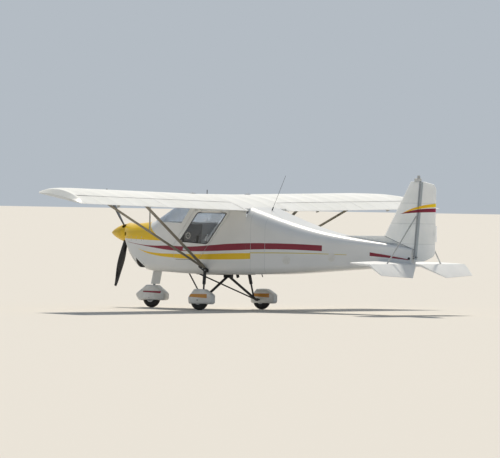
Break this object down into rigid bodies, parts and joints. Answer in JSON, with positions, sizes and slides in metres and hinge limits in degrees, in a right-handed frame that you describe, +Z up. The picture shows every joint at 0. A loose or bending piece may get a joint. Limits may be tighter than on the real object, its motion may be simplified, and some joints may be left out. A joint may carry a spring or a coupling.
{
  "type": "ultralight aircraft",
  "caption": "High-wing ultralight aircraft with strut-braced fabric wing, nose propeller, side-by-side cabin with top-hinged doors, hinged flying surfaces and faired wheels.",
  "frame": {"origin": "on the ground below the middle of the aircraft's box, on its centreline", "axes": "+X forward towards the spinner, +Y to port, +Z up"},
  "size_m": [6.2, 9.4502, 2.1253],
  "materials": {
    "white_gelcoat": "gloss",
    "yellow_gelcoat": "gloss",
    "white_fabric": "satin",
    "clear_glazing": "gloss",
    "white_alloy": "satin",
    "white_steel": "satin",
    "black_steel": "satin",
    "engine_metal": "matt",
    "firewall_metal": "satin",
    "blade_composite": "satin",
    "tyre_rubber": "matt",
    "wheel_alloy": "satin",
    "seat_cloth": "matt",
    "tunnel_cloth": "matt",
    "panel_black": "matt",
    "aerial_black": "satin",
    "lamp_plastic": "gloss"
  },
  "bodies": {
    "airframe": {"aerials": "aerial_black", "beacon": "lamp_plastic", "boom_tunnel": "tunnel_cloth", "cabin_frame": "white_alloy", "cabin_shell": "white_gelcoat", "centre_section": "white_fabric", "control_stick": "black_steel", "engine": "engine_metal", "fin": "white_fabric", "fin_braces": "white_steel", "firewall": "firewall_metal", "gear_bracket": "white_steel", "instrument_panel": "panel_black", "jury_struts": "white_alloy", "lower_cowl": "white_gelcoat", "nose_bearing": "black_steel", "port_front_strut": "white_alloy", "port_gear_leg": "white_steel", "port_rear_strut": "white_alloy", "port_shock_strut": "black_steel", "port_spat": "white_gelcoat", "port_wing": "white_fabric", "rear_fuselage": "white_gelcoat", "rudder_pedals": "black_steel", "seats": "seat_cloth", "stabiliser": "white_fabric", "starboard_front_strut": "white_alloy", "starboard_gear_leg": "white_steel", "starboard_rear_strut": "white_alloy", "starboard_shock_strut": "black_steel", "starboard_spat": "white_gelcoat", "starboard_wing": "white_fabric", "strut_fittings": "white_alloy", "tie_downs": "white_alloy", "upper_cowl": "yellow_gelcoat", "windscreen": "clear_glazing"},
    "propeller": {"propeller": "blade_composite", "spinner": "yellow_gelcoat"},
    "port_door": {"port_door": "white_gelcoat", "port_door_window": "clear_glazing"},
    "starboard_door": {"starboard_door": "white_gelcoat", "starboard_door_window": "clear_glazing"},
    "nose_gear": {"nose_leg": "white_steel", "nose_fairing": "white_gelcoat", "nose_spat": "white_gelcoat"},
    "nose_wheel": {"nose_wheel": "wheel_alloy", "nose_tyre": "tyre_rubber"},
    "port_wheel": {"port_wheel": "wheel_alloy", "port_tyre": "tyre_rubber"},
    "starboard_wheel": {"starboard_wheel": "wheel_alloy", "starboard_tyre": "tyre_rubber"},
    "elevator": {"elevator": "white_fabric"},
    "rudder": {"rudder": "white_fabric"},
    "port_aileron": {"port_aileron": "white_fabric"},
    "starboard_aileron": {"starboard_aileron": "white_fabric"},
    "port_flap": {"port_flap": "white_fabric"},
    "starboard_flap": {"starboard_flap": "white_fabric"}
  },
  "joints": [
    {"name": "propeller_spin", "type": "hinge", "parent": "airframe", "child": "propeller", "pos_m": [2.783, 0, 1.165], "axis": [1, 0, 0], "continuous": true},
    {"name": "port_door_hinge", "type": "hinge", "parent": "airframe", "child": "port_door", "pos_m": [0.76, 0.566, 1.551], "axis": [1, 0, 0], "range_deg": [0, 75]},
    {"name": "starboard_door_hinge", "type": "hinge", "parent": "airframe", "child": "starboard_door", "pos_m": [0.76, -0.566, 1.551], "axis": [-1, 0, 0], "range_deg": [0, 75]},
    {"name": "nose_steering", "type": "hinge", "parent": "airframe", "child": "nose_gear", "pos_m": [2.19, 0, 0.62], "axis": [-0.2111, 0, 0.9775], "range_deg": [-15, 15]},
    {"name": "nose_wheel_spin", "type": "hinge", "parent": "nose_gear", "child": "nose_wheel", "pos_m": [2.29, 0, 0.157], "axis": [0, 1, 0], "continuous": true},
    {"name": "port_wheel_spin", "type": "hinge", "parent": "airframe", "child": "port_wheel", "pos_m": [0.745, 0.82, 0.157], "axis": [0, 1, 0], "continuous": true},
    {"name": "starboard_wheel_spin", "type": "hinge", "parent": "airframe", "child": "starboard_wheel", "pos_m": [0.745, -0.82, 0.157], "axis": [0, 1, 0], "continuous": true},
    {"name": "elevator_hinge", "type": "hinge", "parent": "airframe", "child": "elevator", "pos_m": [-2.758, 0, 0.76529], "axis": [0, 1, 0], "range_deg": [0, 61]},
    {"name": "rudder_hinge", "type": "hinge", "parent": "airframe", "child": "rudder", "pos_m": [-2.73, 0, 0.995], "axis": [-0.0821, 0, 0.9966], "range_deg": [-25, 25]},
    {"name": "port_aileron_hinge", "type": "hinge", "parent": "airframe", "child": "port_aileron", "pos_m": [0.3337, 1.53119, 1.64117], "axis": [0, -0.9998, -0.0175], "range_deg": [-20, 20]},
    {"name": "starboard_aileron_hinge", "type": "hinge", "parent": "airframe", "child": "starboard_aileron", "pos_m": [0.3337, -1.53119, 1.64117], "axis": [0, -0.9998, 0.0175], "range_deg": [-20, 20]},
    {"name": "port_flap_hinge", "type": "hinge", "parent": "airframe", "child": "port_flap", "pos_m": [0.3337, 1.53119, 1.64117], "axis": [0, -0.9998, -0.0175], "range_deg": [0, 35]},
    {"name": "starboard_flap_hinge", "type": "hinge", "parent": "airframe", "child": "starboard_flap", "pos_m": [0.3337, -1.53119, 1.64117], "axis": [0, -0.9998, 0.0175], "range_deg": [0, 35]}
  ],
  "couplings": [
    {"joint": "rudder_hinge", "follows": "nose_steering", "ratio": -1.6666},
    {"joint": "starboard_aileron_hinge", "follows": "port_aileron_hinge", "ratio": -1},
    {"joint": "starboard_flap_hinge", "follows": "port_flap_hinge", "ratio": 1}
  ]
}
